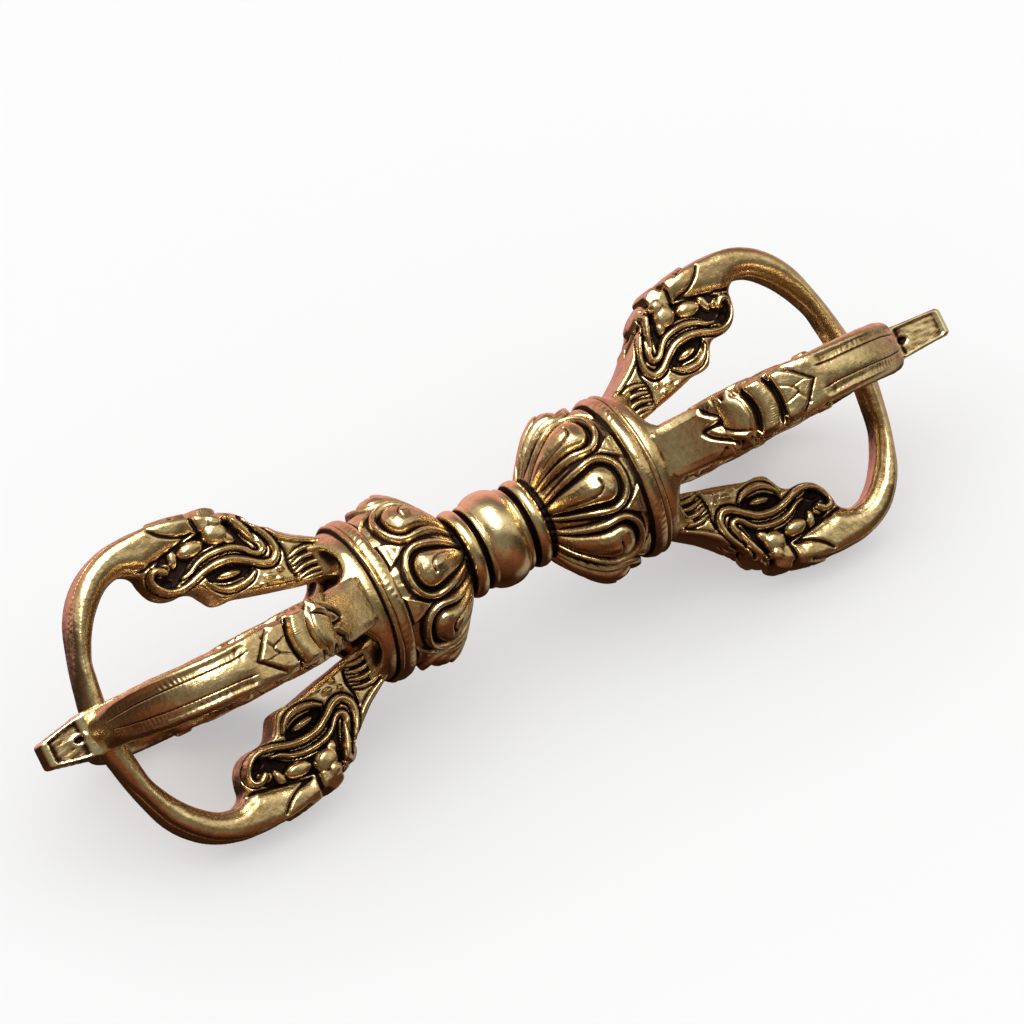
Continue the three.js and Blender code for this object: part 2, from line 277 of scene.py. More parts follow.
def smooth_line(knots, steps):
    """A smooth line through the knots, with so many steps from knot to knot."""
    knots = np.array(knots, float)
    padded = np.vstack([2 * knots[0] - knots[1], knots, 2 * knots[-1] - knots[-2]])
    line = []
    for before, start, end, after in zip(padded, padded[1:], padded[2:], padded[3:]):
        for t in np.arange(steps) / steps:
            line.append(0.5 * (2 * start + (end - before) * t
                               + (2 * before - 5 * start + 4 * end - after) * t * t
                               + (3 * start - before - 3 * end + after) * t ** 3))
    return np.array(line + [knots[-1]])


def nearest(places, line):
    """For each place: how far the line is, and how far along the line it is nearest."""
    best = np.full(len(places), np.inf)
    share = np.zeros(len(places))
    for index, (start, end) in enumerate(zip(line, line[1:])):
        step = end - start
        t = np.clip(((places - start) @ step) / max(step @ step, 1e-12), 0, 1)
        gap = np.hypot(*(places - start - t[:, None] * step).T)
        closer = gap < best
        best[closer] = gap[closer]
        share[closer] = (index + t[closer]) / (len(line) - 1)
    return best, share


def depth_inside(places, outline):
    """How deep each place lies inside a closed outline, negative outside."""
    outline = np.array(outline, float)
    closed = np.vstack([outline, outline[:1]])
    inside = np.zeros(len(places), bool)
    for (x0, y0), (x1, y1) in zip(closed, closed[1:]):
        crosses = (y0 > places[:, 1]) != (y1 > places[:, 1])
        if y0 != y1:
            inside ^= crosses & (places[:, 0] < (x1 - x0) * (places[:, 1] - y0) / (y1 - y0) + x0)
    gap, _ = nearest(places, closed)
    return np.where(inside, gap, -gap)


print("three knots make", len(smooth_line([(0, 0), (1, 1), (2, 0)], 8)), "points")

# %% [markdown]
# Aged brass is dark where polish can't reach. The shader learns that from an attribute:
# each point is compared with the average of its surroundings, near and far, and what
# lies below them is a hollow. Smoothing a copy of the points gives that average. A seam
# is given by its station, how far it reaches to both sides, and the radius there.

# %% Find the hollows
HOLLOW_SCALES = {10: (0.045, 0.45), 60: (0.14, 0.55)}


def mark_hollows(piece, seams=()):
    """Store how deep each point lies below its surroundings, as the attribute "hollow".

    HOLLOW_SCALES gives the rounds of smoothing, the depth that is full, and its share.
    """
    points, normals = points_of(piece), points_of(piece, "normal")
    count = len(points)
    ends = np.empty(len(piece.data.edges) * 2, np.int32)
    piece.data.edges.foreach_get("vertices", ends)
    first, second = ends.reshape(-1, 2).T
    both, other = np.concatenate([first, second]), np.concatenate([second, first])
    neighbours = np.maximum(np.bincount(both, minlength=count), 1)[:, None]
    average = points.copy()
    hollow = np.zeros(count)
    for step in range(1, max(HOLLOW_SCALES) + 1):
        sums = [np.bincount(both, weights=average[other, k], minlength=count) for k in range(3)]
        average = np.stack(sums, 1) / neighbours
        if step in HOLLOW_SCALES:
            full_depth, share = HOLLOW_SCALES[step]
            below = ((average - points) * normals).sum(1)
            hollow += np.clip(below / full_depth, -1, 1) * share
    for station, reach, radius in seams:
        near = 1 - fade(np.abs(points[:, 0] - station), reach * 0.3, reach)
        low = 1 - fade(round_axis(points)[0], radius * 0.96, radius * 1.03)
        hollow = np.maximum(hollow, near * low)
    layer = piece.data.attributes.new("hollow", "FLOAT", "POINT")
    layer.data.foreach_set("value", hollow.astype(np.float32))
    print(piece.name, "is dark on", round(100 * (hollow > 0.5).mean()), "% of its points")


# %% [markdown]
# A turned piece is a closed profile spun round the axis, and any other is a mesh that opens
# in edit mode. Castings are never quite even, so a ripple moves every surface a little.

# %% Start a piece and shape it
SEAM_GAP = 1e-4


def start_piece(name, vertices, edges, faces):
    """A new mesh piece, selected alone and in edit mode."""
    bpy.ops.object.select_all(action="DESELECT")
    mesh = bpy.data.meshes.new(name)
    mesh.from_pydata(vertices, edges, faces)
    piece = bpy.data.objects.new(name, mesh)
    scene.collection.objects.link(piece)
    piece.select_set(True)
    bpy.context.view_layer.objects.active = piece
    bpy.ops.object.mode_set(mode="EDIT")
    bpy.ops.mesh.select_all(action="SELECT")
    return piece


def turn_on_lathe(name, outside, inside, steps):
    """Spin a profile of (station, radius) points, closed on the inside, round the X axis."""
    profile = [*outside, *inside]
    count = len(profile)
    loop = [(i, (i + 1) % count) for i in range(count)]
    piece = start_piece(name, [(x, 0, r) for x, r in profile], loop, [])
    bpy.ops.mesh.spin(steps=steps, angle=2 * math.pi, center=(0, 0, 0), axis=(1, 0, 0))
    bpy.ops.mesh.select_all(action="SELECT")
    bpy.ops.mesh.remove_doubles(threshold=SEAM_GAP)
    bpy.ops.mesh.normals_make_consistent(inside=False)
    bpy.ops.object.mode_set(mode="OBJECT")
    bpy.ops.object.shade_smooth()
    return piece


def apply_modifier(piece, kind, **settings):
    """Add a modifier and apply it at once."""
    bpy.ops.object.modifier_add(type=kind)
    modifier = piece.modifiers[-1]
    for name, value in settings.items():
        setattr(modifier, name, value)
    bpy.ops.object.modifier_apply(modifier=modifier.name)


print("a lathe closes gaps under", SEAM_GAP, "mm")

# %% Make a surface uneven
CROSSED_WAVES = 7


def ripple(points, size, seed):
    """A smooth uneven field, mostly between -1 and 1, from a few crossed waves."""
    generator = np.random.default_rng(seed)
    total = np.zeros(len(points))
    for _ in range(CROSSED_WAVES):
        wave = generator.normal(size=3)
        wave *= 2 * math.pi / size / np.linalg.norm(wave)
        total += np.sin(points @ wave + generator.uniform(0, 2 * math.pi))
    return total / CROSSED_WAVES ** 0.5 / 1.5


def place_uneven(piece, points, amount, size, seed):
    """Move the vertices, swollen and shrunk by a share of their radius."""
    points[:, 1:] *= (1 + amount * ripple(points, size, seed))[:, None]
    place_points(piece, points)


print("surfaces ripple by", CROSSED_WAVES, "waves")

# %% [markdown]
# A finished piece has its place in its mesh, and its object stays at the origin. What comes
# in pairs is made once, for the right end, and a copy is turned half round.

# %% Finish a piece or a pair
HALF_TURN = Matrix.Rotation(math.pi, 4, "Z")


def finish_piece(piece, node, material, turn=None):
    """Shrink a piece to metres, turn it to its place, and let it stand for a solid."""
    piece.data.transform(Matrix.Scale(MM, 4))
    if turn is not None:
        piece.data.transform(turn)
    piece.data.materials.clear()
    piece.data.materials.append(material)
    piece.data.update()
    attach(piece, "root")
    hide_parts(node)


def copy_piece(piece, name):
    """A second piece with its own mesh."""
    copy = piece.copy()
    copy.data = piece.data.copy()
    copy.name = copy.data.name = name
    scene.collection.objects.link(copy)
    return copy


def finish_pair(piece, node, material):
    """Place the right piece, and a copy turned half round for the left end."""
    left = copy_piece(piece, f"{node}_left_cast")
    piece.name = piece.data.name = f"{node}_right_cast"
    finish_piece(left, f"{node}_left", material, HALF_TURN)
    finish_piece(piece, f"{node}_right", material)
    print(node, "pair:", len(piece.data.vertices), "vertices each")


print("pieces shrink by", MM)

# %% [markdown]
# Old brass isn't one colour. Where fingers polish it, it is pale gold, in the low places
# it is brown, and in the deepest ones nearly black. Two node groups are shared: one
# turns hollows and clouds into tone, the other gives pits and hair scratches as height.

# %% Helpers for node groups


def new_group(name, inputs, outputs):
    """An empty shader node group with named sockets."""
    group = bpy.data.node_groups.new(name, "ShaderNodeTree")
    for in_out, sockets in (("INPUT", inputs), ("OUTPUT", outputs)):
        for label, kind in sockets:
            group.interface.new_socket(name=label, in_out=in_out, socket_type=kind)
    group.nodes.new("NodeGroupInput")
    group.nodes.new("NodeGroupOutput")
    return group


def add_math(tree, operation, first, second):
    """A math node whose inputs are sockets or plain numbers."""
    node = tree.nodes.new("ShaderNodeMath")
    node.operation = operation
    for socket, value in zip(node.inputs, (first, second)):
        if isinstance(value, (int, float)):
            socket.default_value = value
        else:
            tree.links.new(value, socket)
    return node.outputs[0]


def add_noise(tree, vector, scale, detail, roughness=0.55):
    """Noise of a given fineness, as a value round one half."""
    node = tree.nodes.new("ShaderNodeTexNoise")
    for label, value in (("Scale", scale), ("Detail", detail), ("Roughness", roughness)):
        node.inputs[label].default_value = value
    tree.links.new(vector, node.inputs["Vector"])
    return node.outputs["Fac"]


def add_ramp(tree, value, stops):
    """A colour that follows a value through its stops."""
    node = tree.nodes.new("ShaderNodeValToRGB")
    set_stops(node, stops)
    tree.links.new(value, node.inputs["Fac"])
    return node.outputs["Color"]


SCALAR, VECTOR, COLOR = "NodeSocketFloat", "NodeSocketVector", "NodeSocketColor"
print("sockets:", SCALAR, VECTOR, COLOR)

# %% [markdown]
# Clouds, grain and specks, each with its fineness, detail and share, keep the tone from
# being flat. What is darker is also rougher.

# %% Build the tone group
UNEVENNESS = ((420, 5, 0.55), (2600, 3, 0.4), (6500, 2, 0.3))
PATINA_COLORS = [(0.2, (0.96, 0.86, 0.55)), (0.42, (0.82, 0.66, 0.385)),
                 (0.54, (0.52, 0.36, 0.185)), (0.63, (0.16, 0.085, 0.045)),
                 (0.74, (0.022, 0.013, 0.012))]
PATINA_ROUGHNESS = [(0.2, 0.17), (0.5, 0.25), (0.72, 0.46), (0.9, 0.62)]

tone = new_group("patina_tone", [("Place", VECTOR), ("Hollow", SCALAR), ("Age", SCALAR)],
                 [("Color", COLOR), ("Roughness", SCALAR)])
tone_in, tone_out = tone.nodes["Group Input"].outputs, tone.nodes["Group Output"].inputs
uneven = 0
for fineness, detail, share in UNEVENNESS:
    noise = add_noise(tone, tone_in["Place"], fineness, detail)
    part = add_math(tone, "MULTIPLY", add_math(tone, "SUBTRACT", noise, 0.5), share)
    uneven = add_math(tone, "ADD", uneven, part)
aged = add_math(tone, "ADD", add_math(tone, "ADD", tone_in["Hollow"], uneven), tone_in["Age"])
level = add_math(tone, "ADD", add_math(tone, "MULTIPLY", aged, 0.5), 0.5)
tone.links.new(add_ramp(tone, level, PATINA_COLORS), tone_out["Color"])
grey_stops = [(position, (value,) * 3) for position, value in PATINA_ROUGHNESS]
tone.links.new(add_ramp(tone, level, grey_stops), tone_out["Roughness"])
print(tone.name, "of", len(tone.nodes), "nodes")

# %% [markdown]
# The skin of a casting has soft lumps, pores and pits, and polishing adds hair scratches.
# The scratches are a noise whose place is stretched along one direction.

# %% Build the skin group
LUMPS, PORES, PITS = 1500, 5200, 1900
HAIRS, HAIR_ROUGHNESS = 1000, 0.7
PIT_EDGE = 5

skin = new_group("cast_skin", [("Place", VECTOR), ("Stretch", VECTOR)], [("Height", SCALAR)])
skin_in, skin_out = skin.nodes["Group Input"].outputs, skin.nodes["Group Output"].inputs
lumps = add_noise(skin, skin_in["Place"], LUMPS, 3)
pores = add_noise(skin, skin_in["Place"], PORES, 2)
stretched = skin.nodes.new("ShaderNodeVectorMath")
stretched.operation = "MULTIPLY"
skin.links.new(skin_in["Place"], stretched.inputs[0])
skin.links.new(skin_in["Stretch"], stretched.inputs[1])
hairs = add_noise(skin, stretched.outputs["Vector"], HAIRS, 3, HAIR_ROUGHNESS)
pit_cells = skin.nodes.new("ShaderNodeTexVoronoi")
pit_cells.inputs["Scale"].default_value = PITS
skin.links.new(skin_in["Place"], pit_cells.inputs["Vector"])
steep = add_math(skin, "MULTIPLY", pit_cells.outputs["Distance"], PIT_EDGE)
pits = add_math(skin, "MINIMUM", steep, 1)
total = 0
for value, share in ((lumps, 0.35), (pores, 0.3), (hairs, 0.5), (pits, 0.16)):
    total = add_math(skin, "ADD", total, add_math(skin, "MULTIPLY", value, share))
skin.links.new(total, skin_out["Height"])
print(skin.name, "of", len(skin.nodes), "nodes")

# %% [markdown]
# The groups are placed in two finishes of the same metal. Turned pieces are handled most
# and stay smooth and pale. The carved ones hold more patina and more casting grain.

# %% Mix the two finishes


def brass(name, age, bump, stretch):
    """Brass whose hollows are dark, with a cast skin whose bumps are so many mm high."""
    material = bpy.data.materials.new(name)
    material.use_nodes = True
    tree = material.node_tree
    link = tree.links.new
    shader = tree.nodes["Principled BSDF"]
    place = tree.nodes.new("ShaderNodeTexCoord").outputs["Object"]
    hollow = tree.nodes.new("ShaderNodeAttribute")
    hollow.attribute_name = "hollow"
    patina = tree.nodes.new("ShaderNodeGroup")
    patina.node_tree = tone
    patina.inputs["Age"].default_value = age
    link(place, patina.inputs["Place"])
    link(hollow.outputs["Fac"], patina.inputs["Hollow"])
    cast = tree.nodes.new("ShaderNodeGroup")
    cast.node_tree = skin
    cast.inputs["Stretch"].default_value = stretch
    link(place, cast.inputs["Place"])
    relief = tree.nodes.new("ShaderNodeBump")
    relief.inputs["Strength"].default_value = 1
    relief.inputs["Distance"].default_value = bump * MM
    link(cast.outputs["Height"], relief.inputs["Height"])
    link(relief.outputs["Normal"], shader.inputs["Normal"])
    link(patina.outputs["Color"], shader.inputs["Base Color"])
    link(patina.outputs["Roughness"], shader.inputs["Roughness"])
    shader.inputs["Metallic"].default_value = 1
    return material


turned_brass = brass("turned_brass", age=-0.1, bump=0.024, stretch=(0.3, 2.2, 2.2))
carved_brass = brass("carved_brass", age=-0.02, bump=0.04, stretch=(0.5, 1.5, 1.5))
print("finishes:", turned_brass.name, carved_brass.name)

# %% [markdown]
# The hub knob and the collars are plain turned work. Each reaches a little into the gap
# beside it, where grime fills the real joint.

# %% Turn the knob
BORE = 1.3
knob_half = [(0, 3.38), (0.45, 3.34), (0.85, 3.2), (1.12, 3.02), (1.22, 2.94), (1.3, 2.97),
             (1.5, 2.95), (1.62, 2.82), (1.68, 2.5), (1.8, 2.33), (2.02, 2.3)]
knob_outside = smooth_line([(-x, r) for x, r in reversed(knob_half)] + knob_half[1:], 5)
knob = turn_on_lathe("hub_knob_cast", knob_outside, [(2.02, BORE), (-2.02, BORE)], 220)
place_uneven(knob, points_of(knob), 0.006, 3.4, 3)
mark_hollows(knob, [(-1.85, 0.34, 3), (1.85, 0.34, 3)])
finish_piece(knob, "hub_knob", turned_brass)

# %% Turn the collars
collar_line = smooth_line([(1.92, 2.3), (1.95, 2.62), (2.05, 2.95), (2.3, 3.1), (2.6, 3.1),
                           (2.82, 2.98), (2.93, 2.72), (2.98, 2.4), (3.14, 2.3)], 5)
collar = turn_on_lathe("collar", collar_line, [(3.14, BORE), (1.92, BORE)], 200)
place_uneven(collar, points_of(collar), 0.008, 2.6, 5)
mark_hollows(collar, [(1.9, 0.22, 2.95), (3.1, 0.28, 2.95)])
finish_pair(collar, "collar", turned_brass)

# %% [markdown]
# A lotus cup has eight petals. Each is a drop with a raised rim, a deep groove and a
# swollen boss with a hooked crease, and pointed sepals fill the corners by the ring. The
# cup is turned plain and dense, and then each vertex is moved out or in by how deep it
# lies inside a petal's outline.

# %% Turn the lotus cups
CUP_START, CUP_LENGTH = 3.21, 6.0
NECK_RADIUS, BELLY_RADIUS = 2.6, 5.5
WIDEST_SHARE = 0.55
CUP_STEP = 0.07


def belly(x):
    """The cup's radius before carving."""
    share = np.clip((x - CUP_START) / CUP_LENGTH, 0, 1)
    swell = np.sin(np.minimum(share / WIDEST_SHARE, 1) * math.pi / 2)
    return NECK_RADIUS + (BELLY_RADIUS - NECK_RADIUS) * swell - 0.25 * fade(share, 0.85, 1)


stations = [CUP_START - 0.16]
while stations[-1] < CUP_START + CUP_LENGTH + 0.2:
    steepness = abs(float(belly(stations[-1] + 0.05) - belly(stations[-1]))) / 0.05
    stations.append(stations[-1] + CUP_STEP / math.hypot(1, steepness))
cup = turn_on_lathe("lotus_cup", [(x, float(belly(x))) for x in stations],
                    [(stations[-1], BORE), (stations[0], BORE)], 480)
print("cup of", len(stations), "stations")

# %% [markdown]
# A petal's outline is drawn flat, by how far up the cup and how far sideways. The table
# gives the height of the metal by how far in a place lies: groove, rim, deep groove, boss.

# %% Draw one petal
PETALS = 8
petal_half = [(0.05, 0.72), (1, 1.22), (2, 1.68), (3, 2.0), (3.8, 2.06), (4.5, 1.8), (5.0, 1.3),
              (5.28, 0.7), (5.38, 0)]
petal_edge = smooth_line(petal_half, 6)
petal_outline = np.vstack([[(-0.6, 0.42)], petal_edge, petal_edge[::-1] * (1, -1), [(-0.6, -0.42)]])
petal_steps = np.array([
    (-0.4, -0.14), (-0.12, -0.2), (-0.04, -0.24), (0.05, 0.1), (0.14, 0.27), (0.28, 0.32),
    (0.4, 0.27), (0.47, 0.1), (0.55, -0.25), (0.63, -0.36), (0.72, -0.34), (0.8, -0.15),
    (0.9, 0.16), (1.02, 0.33), (1.3, 0.5), (2, 0.62)])
sepal_steps = np.array([(-0.05, -0.35), (0.04, -0.02), (0.14, 0.12), (0.3, 0.06), (0.6, 0.1)])
crease = smooth_line([(1.0, 0.34), (1.9, 0.5), (2.6, 0.55), (3.1, 0.4), (3.35, 0.05),
                      (3.3, -0.35)], 6)
print("petal", round(petal_edge[-1][0] - petal_edge[0][0], 2), "mm long, one of", PETALS)

# %% Carve the petals
cup_points = points_of(cup)
radius, angle = round_axis(cup_points)
outside = radius > BORE + 0.2
sector = 2 * math.pi / PETALS
plain_radius = belly(cup_points[:, 0])
sideways = (angle - np.round(angle / sector) * sector) * plain_radius
half_sector = sector / 2 * plain_radius
upward = cup_points[:, 0] - CUP_START
flat_place = np.stack([upward, sideways], 1)
inward = depth_inside(flat_place, petal_outline)
narrow = 0.55 + 0.45 * fade(upward, 0, 3)
relief = np.interp(inward / narrow, *petal_steps.T)
crease_gap, _ = nearest(flat_place, crease)
on_boss = fade(inward / narrow, 0.85, 1.2)
relief -= on_boss * 0.15 * bell(crease_gap, 0.075)
crease_side = depth_inside(flat_place, crease)
relief += on_boss * 0.06 * fade(crease_side, -0.02, 0.25)
border = half_sector - np.abs(sideways)
sepal = np.minimum((upward - 4.15) * 0.62 - border, (5.95 - upward) * 0.9)
sepal = np.minimum(sepal, -inward - 0.16)
relief = np.maximum(relief, np.interp(sepal, *sepal_steps.T))
relief *= fade(upward, -0.25, 0.9) * 0.85 + 0.15
relief -= 0.08 * fade(upward, 5.96, 6.06)
relief += 0.018 * ripple(cup_points, 0.9, 8) + 0.006 * ripple(cup_points, 0.35, 9)
moved = np.where(outside, radius + relief, radius)
cup_points[:, 1:] *= (moved / radius)[:, None]
place_points(cup, cup_points)
mark_hollows(cup, [(CUP_START - 0.1, 0.4, 2.9), (CUP_START + CUP_LENGTH + 0.08, 0.1, 5.6)])
finish_pair(cup, "lotus_cup", carved_brass)

# %% [markdown]
# The rim ring is a hoop with a faint hatching, worn nearly away, and a thin raised lip on
# the side of the tip. The hatching is a wave round the ring whose strength comes and goes.

# %% Turn the rim rings
HATCHES, HATCH_SLANT, HATCH_HEIGHT = 76, 5, 0.012
ring_line = smooth_line([(9.22, 5.0), (9.26, 5.4), (9.38, 5.62), (9.62, 5.74), (9.9, 5.74),
                         (10.12, 5.68), (10.2, 5.6), (10.28, 5.66), (10.38, 5.72), (10.5, 5.66),
                         (10.58, 5.48), (10.62, 5.3), (10.72, 5.1)], 4)
ring = turn_on_lathe("rim_ring", ring_line, [(10.72, 4.4), (9.26, 4.4)], 720)
ring_points = points_of(ring)
station = ring_points[:, 0]
radius, angle = round_axis(ring_points)
on_band = fade(station, 9.5, 9.62) * (1 - fade(station, 10.08, 10.18)) * (radius > 5.4)
worn = fade(ripple(ring_points, 4, 11), -0.3, 0.6)
hatch = np.sin(angle * HATCHES + HATCH_SLANT * (station - 9.8)) * worn
uneven_ring = 0.03 * ripple(ring_points, 1.6, 12) + 0.008 * ripple(ring_points, 0.5, 13)
moved = radius + HATCH_HEIGHT * on_band * hatch + uneven_ring * (radius > 5.2)
ring_points[:, 1:] *= (moved / radius)[:, None]
ring_points[:, 0] += 0.04 * ripple(ring_points, 2.5, 14)
place_points(ring, ring_points)
mark_hollows(ring, [(9.24, 0.1, 5.6), (10.64, 0.12, 5.6)])
finish_pair(ring, "rim_ring", carved_brass)

# %% [markdown]
# The prong seat closes the cup. Its flange is a smooth band, and inside it the metal
# climbs in concave webs to the roots of the four prongs, as wax fillets do in casting.

# %% Turn the prong seats and pull up their webs
SEAT_END, ROOT_HALF_WIDTH = 11.42, 1.75
WEB_HEIGHT, WEB_REACH = 1.05, 0.55
QUARTER_TURN = math.pi / 2
seat_outside = smooth_line([(10.58, 5.0), (10.62, 5.24), (10.74, 5.33), (11.1, 5.34),
                            (11.34, 5.27), (SEAT_END + 0.04, 5.1)], 5)
seat_face = [(SEAT_END + 0.04, r) for r in np.arange(5.03, 1.25, -0.075)]
seat = turn_on_lathe("prong_seat", seat_outside, [*seat_face, (10.58, 1.28)], 420)
seat_points = points_of(seat)
radius, angle = round_axis(seat_points)
from_prong = angle % QUARTER_TURN - QUARTER_TURN / 2
beside = np.abs(radius * np.sin(from_prong)) - ROOT_HALF_WIDTH
ahead = radius * np.cos(from_prong)
on_face = fade(seat_points[:, 0], 11.3, SEAT_END + 0.02)
climb = WEB_HEIGHT * np.exp(-np.maximum(beside, 0) / WEB_REACH)
climb = climb * fade(ahead, 2.1, 2.9) * (1 - fade(ahead, 4.8, 5.25))
dish = -0.22 * fade(radius, 4.95, 4.3) + 0.1 * bell(radius - 5, 0.16)
seat_points[:, 0] += on_face * (climb + dish) + 0.03 * ripple(seat_points, 1.2, 21)
place_points(seat, seat_points)
mark_hollows(seat, [(10.6, 0.12, 5.35)])
finish_pair(seat, "prong_seat", carved_brass)

# %% [markdown]
# The central prong is a square bar that swells to the junction and tapers to the tip.
# A cube's end face is extruded and scaled from station to station, the edges are bevelled,
# and a remesh gives vertices enough for the sunk panels of the tip.

# %% Forge the central prongs
TIP_REACH = 35.0
BAR_SECTIONS = {"right": [(11.2, 1.3), (26.9, 1.56), (30.7, 1.56), (31.05, 1.2), (34.7, 1.0),
                          (TIP_REACH, 0.86)],
                "left": [(11.2, 1.3), (28.9, 1.56), (31.6, 1.6), (31.9, 1.5), (34.75, 0.96),
                         (TIP_REACH, 0.86)]}
BAR_EDGE, BAR_VOXEL = 0.2, 0.1


def forge_bar(side):
    """One square bar along X, from its root in the seat to its tip."""
    sections = BAR_SECTIONS[side]
    start, half = sections[0]
    bpy.ops.mesh.primitive_cube_add(size=1, location=(start - 0.5, 0, 0))
    bar = bpy.context.object
    bar.name = bar.data.name = f"central_prong_{side}_cast"
    bpy.ops.object.transform_apply()
    corners = points_of(bar)
    corners[:, 1:] *= 2 * half
    place_points(bar, corners)
    bpy.ops.object.mode_set(mode="EDIT")
    bpy.ops.mesh.select_all(action="DESELECT")
    bpy.ops.object.mode_set(mode="OBJECT")
    for face in bar.data.polygons:
        face.select = face.normal.x > 0.9
    bpy.ops.object.mode_set(mode="EDIT")
    for (x0, half0), (x1, half1) in zip(sections, sections[1:]):
        bpy.ops.mesh.extrude_region_move(TRANSFORM_OT_translate={"value": (x1 - x0, 0, 0)})
        share = half1 / half0
        bpy.ops.transform.resize(value=(1, share, share), center_override=(x1, 0, 0))
    bpy.ops.object.mode_set(mode="OBJECT")
    apply_modifier(bar, "BEVEL", width=BAR_EDGE, segments=3)
    apply_modifier(bar, "REMESH", mode="VOXEL", voxel_size=BAR_VOXEL)
    bpy.ops.object.shade_smooth()
    print(bar.name, len(bar.data.vertices), "vertices")
    return bar


bars = {side: forge_bar(side) for side in BAR_SECTIONS}

# %% [markdown]
# Each face of the tip has a sunk panel, scratched where the wax was scraped out, with a
# small oval pit and its raised lip at the inner end. The left panels are the deeper ones.

# %% Sink the panels of the tips
PANEL_DEPTH = {"right": 0.12, "left": 0.2}
PANEL_LIP = {"right": 0.03, "left": 0.12}
PANEL_END = 34.3
PIT_LENGTH, PIT_WIDTH, PIT_DEPTH = 0.3, 0.2, 0.3
PRONG_ROLL = math.pi / 4


def finish_bar(side, bar):
    """Sink the panels, then roll the bar so that its faces look at the curved prongs."""
    sections = BAR_SECTIONS[side]
    panel_start = sections[3][0]
    points = points_of(bar)
    reach = points[:, 0]
    half_here = np.interp(reach, *zip(*sections))
    for axis in (1, 2):
        cross = points[:, 3 - axis]
        on_face = np.abs(points[:, axis]) > half_here - 0.3
        rim = 0.22 + 0.05 * ripple(points, 2.4, 33 + axis)
        sunk = fade(half_here - rim - np.abs(cross), -0.05, 0.1)
        sunk = sunk * fade(reach, panel_start + 0.1, panel_start + 0.4)
        sunk = sunk * (1 - fade(reach, PANEL_END, PANEL_END + 0.3))
        skewed = np.stack([reach * 0.9 + cross * 1.6, cross * 2.2 - reach * 0.5, reach * 0], 1)
        scratch = 0.016 * ripple(skewed, 0.9, 35) + 0.008 * ripple(skewed, 0.4, 36)
        pit = np.hypot((reach - panel_start - 0.55) / PIT_LENGTH, cross / PIT_WIDTH)
        lip = PANEL_LIP[side] * bell(pit - 1.5, 0.45)
        drop = sunk * (PANEL_DEPTH[side] + scratch) + PIT_DEPTH * bell(pit, 1) - lip
        points[:, axis] -= np.sign(points[:, axis]) * np.where(on_face, drop, 0)
    place_uneven(bar, points, 0.01, 2.6, 31)
    mark_hollows(bar)
    turn = Matrix.Rotation(PRONG_ROLL, 4, "X")
    if side == "left":
        turn = HALF_TURN @ turn
    finish_piece(bar, f"central_prong_{side}", carved_brass, turn)


for side, bar in bars.items():
    finish_bar(side, bar)

# %% [markdown]
# A curved prong is the body of a sea monster: the head sits near the root, and the arc
# comes out of its mouth. Its side view is drawn once, from the root along the axis and
# out from it, and both ends stretch that drawing to their own length. The crest is its
# outer line and the inner line runs back from the tip past jaw, chin and throat.

# %% Draw the prong from the side
DRAWN_LENGTH = 18.8
crest = smooth_line([
    (-0.5, 5.1), (0, 5.4), (1.4, 6.3), (3, 7.65), (4.4, 8.95), (6, 9.9), (8.6, 10.62),
    (11, 10.85), (13.2, 10.62), (15.2, 9.6), (16.85, 7.7), (17.9, 5), (18.62, 2.4),
    (18.9, 1.3)], 8)
inner_line = smooth_line([
    (17.2, 1.3), (17.0, 2.9), (16.7, 4.5), (15.9, 6.1), (14.85, 7.4), (13.75, 8.25),
    (12.75, 8.52), (12.1, 8.4), (11.6, 7.95), (11.45, 7.2), (11.1, 6.35), (10.5, 5.85),
    (9.7, 5.62), (8.9, 5.6), (8.3, 5.35), (7.9, 4.75), (7.5, 4.15), (6.9, 3.95),
    (6.1, 3.95), (5.2, 3.75), (3.9, 3.4), (2.4, 3.05), (1.2, 2.75), (0, 2.6), (-0.5, 2.6)], 6)
side_outline = np.vstack([crest, inner_line])
half_widths = np.array([
    (-0.5, 1.72), (0.3, 1.72), (1.2, 1.74), (2.8, 1.8), (4.6, 1.93), (6.3, 1.95), (7.05, 1.86),
    (8.4, 1.9), (9.6, 1.84), (12, 1.84), (15.8, 1.82), (17.1, 1.7), (17.8, 1.52), (18.3, 1.28),
    (18.65, 1.02), (18.9, 0.7)])
print("side view of", len(side_outline), "points")

# %% [markdown]
# The drawing is extruded to a slab and remeshed evenly. The slab's width is then scaled
# at every place: by the width seen from outside, and rounded towards both its edges and
# where the arc leaves the jaw.

# %% Cut the slab
SLAB_HALF = 2.0
PRONG_VOXEL = 0.075

drawn_points = [(x, -SLAB_HALF, v) for x, v in side_outline]
prong = start_piece("outer_prong", drawn_points, [], [range(len(drawn_points))])
bpy.ops.mesh.extrude_region_move(TRANSFORM_OT_translate={"value": (0, 2 * SLAB_HALF, 0)})
bpy.ops.mesh.select_all(action="SELECT")
bpy.ops.mesh.normals_make_consistent(inside=False)
bpy.ops.object.mode_set(mode="OBJECT")
apply_modifier(prong, "REMESH", mode="VOXEL", voxel_size=PRONG_VOXEL)
apply_modifier(prong, "SMOOTH", factor=0.5, iterations=4)
bpy.ops.object.shade_smooth()
places = points_of(prong)
faces_out = points_of(prong, "normal")
side_place = places[:, (0, 2)]
drawn_x, drawn_out = side_place.T
print("slab of", len(places), "vertices")

# %% Round its edges
crest_gap, crest_share = nearest(side_place, crest)
inner_gap, _ = nearest(side_place, inner_line)
outer_round = 0.42 + 0.36 * fade(drawn_x, 8.5, 11.5)
inner_round = 0.5 + 0.6 * fade(drawn_x, 9, 12)


